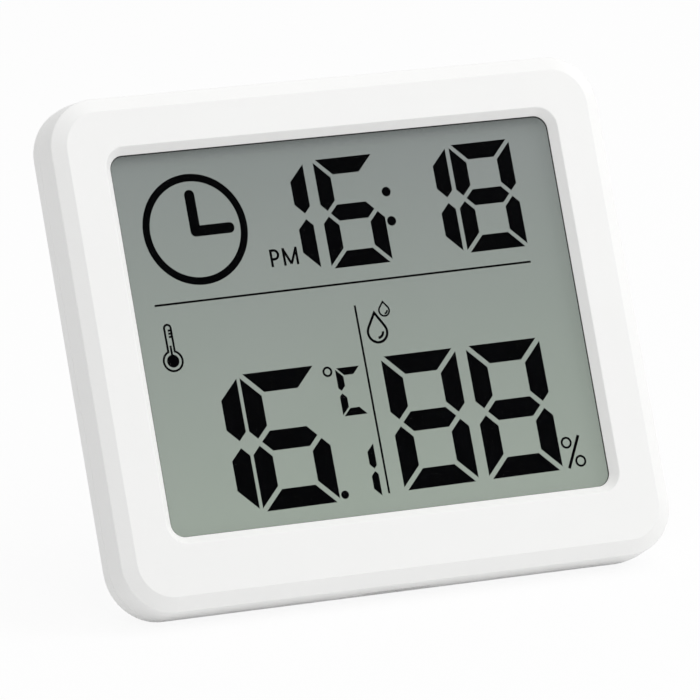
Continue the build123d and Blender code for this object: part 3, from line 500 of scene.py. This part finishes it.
def carbon_printed_alumina():
    """Alumina plate with printed carbon fingers: cream with dull black lines at a 0.8 mm pitch."""
    finger_pitch = 0.8 * MM
    material, tree, place = new_finish("carbon_printed_alumina")
    finger = add(tree, "ShaderNodeTexWave", {"Vector": place, "Scale": wave_scale(finger_pitch)})
    crisp = add(tree, "ShaderNodeMapRange", {
        "Value": finger.outputs["Fac"], "From Min": 0.55, "From Max": 0.65,
    })
    colour = add(tree, "ShaderNodeMix", {
        0: crisp.outputs["Result"], 6: linear("#e2dccd"), 7: linear("#24221f"),
    }, data_type="RGBA")
    rough = add(tree, "ShaderNodeMapRange", {"Value": crisp.outputs["Result"], "To Min": 0.4, "To Max": 0.75})
    shader = add(tree, "ShaderNodeBsdfPrincipled", {
        "Base Color": colour.outputs[2],
        "Roughness": rough.outputs["Result"],
        "IOR": 1.76,
    })
    add(tree, "ShaderNodeOutputMaterial", {"Surface": shader.outputs["BSDF"]})
    return material


def moulded_black_nylon():
    """Black nylon with glass fibre, moulded: a dull grey bloom of fibre ends about 0.2 mm apart."""
    fibre_gap = 0.2 * MM
    material, tree, place = new_finish("moulded_black_nylon")
    fibre = add(tree, "ShaderNodeTexNoise", {"Vector": place, "Scale": 1 / fibre_gap, "Detail": 3.0})
    colour = add(tree, "ShaderNodeMix", {
        0: fibre.outputs["Fac"], 6: linear("#121212"), 7: linear("#222222"),
    }, data_type="RGBA")
    shader = add(tree, "ShaderNodeBsdfPrincipled", {
        "Base Color": colour.outputs[2],
        "Roughness": 0.55,
        "IOR": 1.53,
    })
    add(tree, "ShaderNodeOutputMaterial", {"Surface": shader.outputs["BSDF"]})
    return material


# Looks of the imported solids
def dress(material, *names):
    """Gives CAD nodes a material in place of their packed one."""
    for name in names:
        mesh = nodes[name].data
        mesh.materials.clear()
        mesh.materials.append(material)


def pass_light(*names):
    """Thin layers of the display: light reaches what lies behind them as if they weren't there."""
    for name in names:
        nodes[name].visible_shadow = False
        nodes[name].visible_diffuse = False
        nodes[name].visible_glossy = False


def keep_unmirrored(*names):
    """Frame round the display: its unlit underside isn't mirrored in the reflector as a black band."""
    for name in names:
        nodes[name].visible_glossy = False


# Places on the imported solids
def onto_back(point, node):
    """The point slid backwards onto a node's outermost plane."""
    outermost = max(vertex.co.dot(BACK) for vertex in nodes[node].data.vertices)
    return point + BACK * (outermost - point.dot(BACK))


def middle(node):
    """Middle of a node's box along the case's own directions."""
    total = Vector()
    for direction in (RIGHT, UP, BACK):
        places = [vertex.co.dot(direction) for vertex in nodes[node].data.vertices]
        total += direction * (min(places) + max(places)) / 2
    return total


def reaches(spots):
    """Lowest and highest value of flat points along each axis."""
    return [(min(values), max(values)) for values in zip(*spots)]


def lies_within(spot, rim):
    """Whether a flat point lies inside a box, and not on its rim."""
    return all(low + MERGE_DISTANCE < value < high - MERGE_DISTANCE for value, (low, high) in zip(spot, rim))


def seat(across, up, out, origin):
    """Places a drawing in millimetres on a face: its X across, its Y up and its Z out of the face."""
    turned = Matrix((across, up, out)).transposed().to_4x4()
    return Matrix.Translation(origin) @ turned @ Matrix.Scale(MM, 4)


# Flat drawings, in millimetres and degrees
def polar(radius, angle):
    return radius * math.cos(math.radians(angle)), radius * math.sin(math.radians(angle))


def moved(points, by):
    return [(x + by[0], y + by[1]) for x, y in points]


def arc(radius, start, end):
    """Points along an arc, its angles in degrees."""
    step = (end - start) / (MARK_ARC_POINTS - 1)
    return [polar(radius, start + step * index) for index in range(MARK_ARC_POINTS)]


def disc(radius, centre=(0, 0)):
    return moved(arc(radius, 0, FULL_TURN)[:-1], centre)


def ring(radius, centre=(0, 0)):
    return [disc(radius, centre), disc(radius - MARK_STROKE, centre)]


def bent_bar(radius, start, end):
    """Outline of a bar bent to an arc, which is its outer edge."""
    return arc(radius, start, end) + arc(radius - MARK_STROKE, end, start)


def arrow_head(size, angle, tip):
    """Triangle whose tip points along an angle."""
    barbs = [polar(size, angle + ARROW_BARB_ANGLE), polar(size, angle - ARROW_BARB_ANGLE)]
    return moved([(0, 0)] + barbs, tip)


def hollow_arrow_head(size):
    """Upright triangle about its centre, with a hole that leaves one stroke all round."""
    tip = size / math.sqrt(3)
    hole_size = size - 2 * math.sqrt(3) * MARK_STROKE
    hole_tip = tip - 2 * MARK_STROKE
    return [arrow_head(size, QUARTER_TURN, (0, tip)), arrow_head(hole_size, QUARTER_TURN, (0, hole_tip))]


def plus_sign(size, centre):
    half = size / 2
    slim = MARK_STROKE / 2
    quarter = [(half, -slim), (half, slim), (slim, slim)]
    points = []
    for cos, sin in ((1, 0), (0, 1), (-1, 0), (0, -1)):
        points += [(x * cos - y * sin, x * sin + y * cos) for x, y in quarter]
    return moved(points, centre)


# Pieces modelled here
def finish_piece(name, mesh, place, material, body):
    """Puts a drawn mesh in its place, closes it and lets it ride on its body."""
    mesh.transform(place)
    shape = bmesh.new()
    shape.from_mesh(mesh)
    bmesh.ops.remove_doubles(shape, verts=shape.verts, dist=MERGE_DISTANCE)
    bmesh.ops.recalc_face_normals(shape, faces=shape.faces)
    shape.to_mesh(mesh)
    shape.free()
    mesh.materials.clear()
    mesh.materials.append(material)
    piece = bpy.data.objects.new(name, mesh)
    bpy.context.scene.collection.objects.link(piece)
    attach(piece, body)
    return piece


def plain_mesh(drawing):
    """Plain mesh of a curve or of an object with a node tree; the drawing itself is removed."""
    bpy.context.scene.collection.objects.link(drawing)
    graph = bpy.context.evaluated_depsgraph_get()
    mesh = bpy.data.meshes.new_from_object(drawing.evaluated_get(graph))
    bpy.data.objects.remove(drawing)
    return mesh


def raised_mark(name, loops, place, material, body):
    """Low relief with rounded edges, from closed outlines; an outline inside another is a hole."""
    curve = bpy.data.curves.new(name, "CURVE")
    curve.dimensions = "2D"
    curve.fill_mode = "BOTH"
    curve.extrude = MARK_HEIGHT - MARK_ROUND
    curve.bevel_depth = MARK_ROUND
    curve.bevel_resolution = MARK_ROUND_STEPS
    curve.offset = -MARK_ROUND
    for loop in loops:
        spline = curve.splines.new("POLY")
        spline.points.add(len(loop) - 1)
        for point, (x, y) in zip(spline.points, loop):
            point.co = (x, y, 0, 1)
        spline.use_cyclic_u = True
    finish_piece(name, plain_mesh(bpy.data.objects.new(name, curve)), place, material, body)


def add_key_marks(material):
    """A dial, an arrow head and a degree sign with a letter C, one on each key."""
    slim = MARK_STROKE / 2
    level_hand = [(-slim, -slim), (DIAL_HAND, -slim), (DIAL_HAND, slim), (slim, slim)]
    hands = level_hand + [(slim, DIAL_HAND), (-slim, DIAL_HAND)]
    letter = bent_bar(LETTER_RADIUS, LETTER_GAP_ANGLE, FULL_TURN - LETTER_GAP_ANGLE)
    marks = {
        "mode": ring(DIAL_RADIUS) + [hands],
        "adjust": hollow_arrow_head(KEY_ARROW_SIZE),
        "unit": ring(DEGREE_RADIUS, DEGREE_PLACE) + [moved(letter, LETTER_PLACE)],
    }
    for key, loops in marks.items():
        top = onto_back(middle(f"{key}_button"), f"{key}_button")
        raised_mark(f"{key}_mark", loops, seat(-RIGHT, UP, BACK, top), material, f"{key}_key")


def add_door_marks(case_material, door_material):
    """A dot where the door is locked, a ring where it opens, an arrow between, and the door's pointer."""
    axle = Vector(joints["door_turn"]["pos_m"])
    open_angle = LOCK_CLOSED_ANGLE + joints["door_turn"]["range_deg"][1]
    arrow_end = open_angle - LOCK_ARROW_GAP
    tip = polar(LOCK_RING_RADIUS, open_angle - LOCK_ARROW_GAP / 2)
    loops = [
        disc(LOCK_DOT_RADIUS, polar(LOCK_RING_RADIUS, LOCK_CLOSED_ANGLE)),
        bent_bar(LOCK_RING_RADIUS + MARK_STROKE / 2, LOCK_CLOSED_ANGLE + LOCK_ARROW_GAP, arrow_end),
        arrow_head(ARROW_SIZE, arrow_end + QUARTER_TURN, tip),
    ]
    loops += ring(LOCK_DOT_RADIUS, polar(LOCK_RING_RADIUS, open_angle))
    place = seat(-RIGHT, UP, BACK, onto_back(axle, "rear_cover"))
    raised_mark("lock_marks", loops, place, case_material, "case")
    pointer = arrow_head(ARROW_SIZE, LOCK_CLOSED_ANGLE, polar(DOOR_POINTER_RADIUS, LOCK_CLOSED_ANGLE))
    sign = plus_sign(PLUS_SIZE, (0, PLUS_HEIGHT))
    place = seat(-RIGHT, UP, BACK, onto_back(axle, "battery_door"))
    raised_mark("door_marks", [pointer, sign], place, door_material, "door")


def rib_tree():
    """Node tree of a row of round-backed ribs that fade into the face at their ends."""
    tree = bpy.data.node_groups.new("grip_ribs", "GeometryNodeTree")
    tree.interface.new_socket("Geometry", in_out="OUTPUT", socket_type="NodeSocketGeometry")
    tree.interface.new_socket("Count", in_out="INPUT", socket_type="NodeSocketInt")
    for name in ("Pitch", "Length", "Radius"):
        tree.interface.new_socket(name, in_out="INPUT", socket_type="NodeSocketFloat")
    tree.interface.new_socket("Material", in_out="INPUT", socket_type="NodeSocketMaterial")
    sizes = add(tree, "NodeGroupInput").outputs
    half = add(tree, "ShaderNodeMath", {0: sizes["Length"], 1: 0.5}, operation="MULTIPLY")
    other = add(tree, "ShaderNodeMath", {0: half.outputs["Value"], 1: -1.0}, operation="MULTIPLY")
    start = add(tree, "ShaderNodeCombineXYZ", {"X": other.outputs["Value"]})
    end = add(tree, "ShaderNodeCombineXYZ", {"X": half.outputs["Value"]})
    line = add(tree, "GeometryNodeCurvePrimitiveLine", {
        "Start": start.outputs["Vector"], "End": end.outputs["Vector"],
    })
    line = add(tree, "GeometryNodeResampleCurve", {"Curve": line.outputs["Curve"], "Count": RIB_STEPS})
    along = add(tree, "GeometryNodeSplineParameter")
    centred = add(tree, "ShaderNodeMapRange", {
        "Value": along.outputs["Factor"], "To Min": -1.0, "To Max": 1.0,
    })
    apart = add(tree, "ShaderNodeMath", {0: centred.outputs["Result"]}, operation="ABSOLUTE")
    power = add(tree, "ShaderNodeMath", {0: apart.outputs["Value"], 1: RIB_END_POWER}, operation="POWER")
    fade = add(tree, "ShaderNodeMath", {0: 1.0, 1: power.outputs["Value"]}, operation="SUBTRACT")
    section = add(tree, "GeometryNodeCurvePrimitiveCircle", {
        "Resolution": RIB_SIDES, "Radius": sizes["Radius"],
    })
    rib = add(tree, "GeometryNodeCurveToMesh", {
        "Curve": line.outputs["Curve"],
        "Profile Curve": section.outputs["Curve"],
        "Scale": fade.outputs["Value"],
    })
    step = add(tree, "ShaderNodeCombineXYZ", {"Y": sizes["Pitch"]})
    row = add(tree, "GeometryNodeMeshLine", {"Count": sizes["Count"], "Offset": step.outputs["Vector"]})
    ribs = add(tree, "GeometryNodeInstanceOnPoints", {
        "Points": row.outputs["Mesh"], "Instance": rib.outputs["Mesh"],
    })
    ribs = add(tree, "GeometryNodeRealizeInstances", {"Geometry": ribs.outputs["Instances"]})
    ribs = add(tree, "GeometryNodeSetMaterial", {
        "Geometry": ribs.outputs["Geometry"], "Material": sizes["Material"],
    })
    add(tree, "NodeGroupOutput", {"Geometry": ribs.outputs["Geometry"]})
    return tree


def add_grip_ribs(material):
    """Ribs near the stand's foot, on its outer face, low enough to fold into the recess with it."""
    pin = Vector(joints["stand_fold"]["pos_m"])
    opened = math.radians(-joints["stand_fold"]["range_deg"][0])
    along = -math.cos(opened) * UP + math.sin(opened) * BACK
    out = RIGHT.cross(along)
    places = [vertex.co - pin for vertex in nodes["stand_flap"].data.vertices]
    foot = max(place.dot(along) for place in places)
    face = max(place.dot(out) for place in places if place.dot(along) > foot / 2)
    sizes = {
        "Count": RIB_COUNT,
        "Pitch": RIB_PITCH,
        "Length": RIB_LENGTH,
        "Radius": RIB_RADIUS,
        "Material": material,
    }
    drawing = bpy.data.objects.new("flap_ribs", bpy.data.meshes.new("flap_ribs"))
    modifier = drawing.modifiers.new("ribs", "NODES")
    modifier.node_group = rib_tree()
    for item in modifier.node_group.interface.items_tree:
        if item.in_out == "INPUT":
            modifier[item.identifier] = sizes[item.name]
    origin = pin + (foot - RIB_FOOT_GAP * MM) * along + (face + (RIB_RISE - RIB_RADIUS) * MM) * out
    place = seat(-RIGHT, -along, out, origin)
    finish_piece("flap_ribs", plain_mesh(drawing), place, material, "stand")


def add_gasket_and_shade_line(material):
    """Foam gasket between frame and display, its inner edge swollen inwards past the frame's lip and set a
    little low. It makes a thin black line round the display, partly the real gasket and partly painted shade
    of the shadowed gap under the lip, thicker at the top where that shadow falls."""
    mesh = nodes["lcd_gasket"].data.copy()
    spots = [(vertex.co.dot(RIGHT), vertex.co.dot(UP)) for vertex in mesh.vertices]
    rim = reaches(spots)
    inner = [index for index, spot in enumerate(spots) if lies_within(spot, rim)]
    (left, right), (bottom, top) = reaches([spots[index] for index in inner])
    straight_top = max(spots[index][1] for index in inner if spots[index][0] > right - MERGE_DISTANCE)
    corner = top - straight_top
    for index in inner:
        x, y = spots[index]
        core_x = min(max(x, left + corner), right - corner)
        core_y = min(max(y, bottom + corner), top - corner)
        outward = ((x - core_x) * RIGHT + (y - core_y) * UP).normalized()
        # Painted shade: the black edge is moved to stand in for the shadowed gap under the lip.
        mesh.vertices[index].co -= GASKET_SWELL * outward + GASKET_DROP * UP
    gasket = finish_piece("squeezed_gasket", mesh, Matrix(), material, "case")
    gasket.visible_glossy = False
    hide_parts("lcd_gasket")


# Camera, lamps, floor and room
def add_camera():
    level = math.cos(CAMERA_ELEVATION)
    towards = Vector((
        math.sin(CAMERA_AZIMUTH) * level,
        math.cos(CAMERA_AZIMUTH) * level,
        -math.sin(CAMERA_ELEVATION),
    ))
    data = bpy.data.cameras.new("photo_camera")
    data.sensor_width = SENSOR_WIDTH
    data.lens = CAMERA_LENS_SHARE * SENSOR_WIDTH
    data.clip_end = 2 * FLOOR_SIZE
    camera = bpy.data.objects.new("photo_camera", data)
    camera.location = CAMERA_AIM - CAMERA_DISTANCE * towards
    camera.rotation_euler = towards.to_track_quat("-Z", "Y").to_euler()
    bpy.context.scene.collection.objects.link(camera)
    bpy.context.scene.camera = camera


def add_lamp(name, place, width, power):
    data = bpy.data.lights.new(name, "AREA")
    data.shape = "DISK"
    data.size = width
    data.energy = power
    lamp = bpy.data.objects.new(name, data)
    lamp.location = place
    lamp.rotation_euler = (CAMERA_AIM - place).to_track_quat("-Z", "Y").to_euler()
    bpy.context.scene.collection.objects.link(lamp)


def seen_directly(tree):
    """1 for rays from the camera, a mirror or glass, and 0 for the rays that light things."""
    path = add(tree, "ShaderNodeLightPath").outputs
    seen = add(tree, "ShaderNodeMath", {
        0: path["Is Camera Ray"], 1: path["Is Glossy Ray"],
    }, operation="MAXIMUM")
    return add(tree, "ShaderNodeMath", {
        0: seen.outputs["Value"], 1: path["Is Transmission Ray"],
    }, operation="MAXIMUM").outputs["Value"]


def add_floor():
    """White paper with fibre clouds of 2 mm: nearly white to the eye, with the object's shadow on it."""
    fibre_size = 2 * MM
    mesh = bpy.data.meshes.new("paper_floor")
    half = FLOOR_SIZE / 2
    corners = [(-half, -half, 0), (half, -half, 0), (half, half, 0), (-half, half, 0)]
    mesh.from_pydata(corners, [], [(0, 1, 2, 3)])
    floor = bpy.data.objects.new("paper_floor", mesh)
    bpy.context.scene.collection.objects.link(floor)
    material, tree, place = new_finish("white_paper")
    fibre = add(tree, "ShaderNodeTexNoise", {"Vector": place, "Scale": 1 / fibre_size})
    colour = add(tree, "ShaderNodeMix", {
        0: fibre.outputs["Fac"], 6: linear("#f5f5f5"), 7: linear("#f7f7f7"),
    }, data_type="RGBA")
    paper = add(tree, "ShaderNodeBsdfDiffuse", {"Color": colour.outputs[2]})
    glow = add(tree, "ShaderNodeEmission", {"Color": linear("#ffffff"), "Strength": 1.0})
    share = add(tree, "ShaderNodeMath", {0: seen_directly(tree), 1: FLOOR_WHITE_SHARE}, operation="MULTIPLY")
    mixed = add(tree, "ShaderNodeMixShader", {
        0: share.outputs["Value"], 1: paper.outputs["BSDF"], 2: glow.outputs["Emission"],
    })
    add(tree, "ShaderNodeOutputMaterial", {"Surface": mixed.outputs["Shader"]})
    mesh.materials.append(material)


def add_room():
    """Even white room, which looks white itself and lights the object more softly than that."""
    world = bpy.data.worlds.new("white_room")
    world.use_nodes = True
    tree = world.node_tree
    tree.nodes.clear()
    light = add(tree, "ShaderNodeBackground", {"Color": linear("#ffffff"), "Strength": ROOM_STRENGTH})
    white = add(tree, "ShaderNodeBackground", {"Color": linear("#ffffff"), "Strength": 1.0})
    mixed = add(tree, "ShaderNodeMixShader", {
        0: seen_directly(tree), 1: light.outputs["Background"], 2: white.outputs["Background"],
    })
    add(tree, "ShaderNodeOutputWorld", {"Surface": mixed.outputs["Shader"]})
    bpy.context.scene.world = world


# The whole scene
case_white = spark_eroded_abs()
trim_white = polished_abs()
black_epoxy = cast_black_epoxy()
black_foam = die_cut_foam()
dress(case_white, "front_shell", "rear_cover")
dress(trim_white, "battery_door", "stand_flap", "mode_button", "adjust_button", "unit_button")
dress(matt_coated_film(), "front_polariser")
dress(thin_float_glass(), "lcd_front_glass", "lcd_rear_glass")
dress(pearl_reflector_film(), "lcd_reflector")
dress(dark_liquid_crystal(), "lcd_segments")
dress(black_foam, "lcd_support_pads")
dress(screen_printed_epoxy(), "lcd_seal")
dress(striped_silicone_rubber(), "zebra_connector")
dress(masked_fibreglass(), "circuit_board")
dress(black_epoxy, "controller_blob", "thermistor")
dress(nickel_plated_can(), "coin_cell", "watch_crystal")
dress(rolled_bronze_strip(), "negative_contact", "positive_contact")
dress(turned_steel(), "board_screws", "stand_pin")
dress(fired_ceramic(), "smd_passives")
dress(carbon_printed_alumina(), "humidity_sensor")
dress(moulded_black_nylon(), "tact_switches", "mode_plunger", "adjust_plunger", "unit_plunger")
pass_light("front_polariser", "lcd_front_glass", "lcd_segments", "lcd_rear_glass")
keep_unmirrored("front_shell", "lcd_seal")

add_key_marks(trim_white)
add_door_marks(case_white, trim_white)
add_grip_ribs(trim_white)
add_gasket_and_shade_line(black_foam)

add_camera()
add_room()
add_floor()
for lamp_name, (lamp_place, lamp_width, lamp_power) in LAMPS.items():
    add_lamp(lamp_name, lamp_place, lamp_width, lamp_power)
bpy.context.scene.view_settings.view_transform = "Standard"
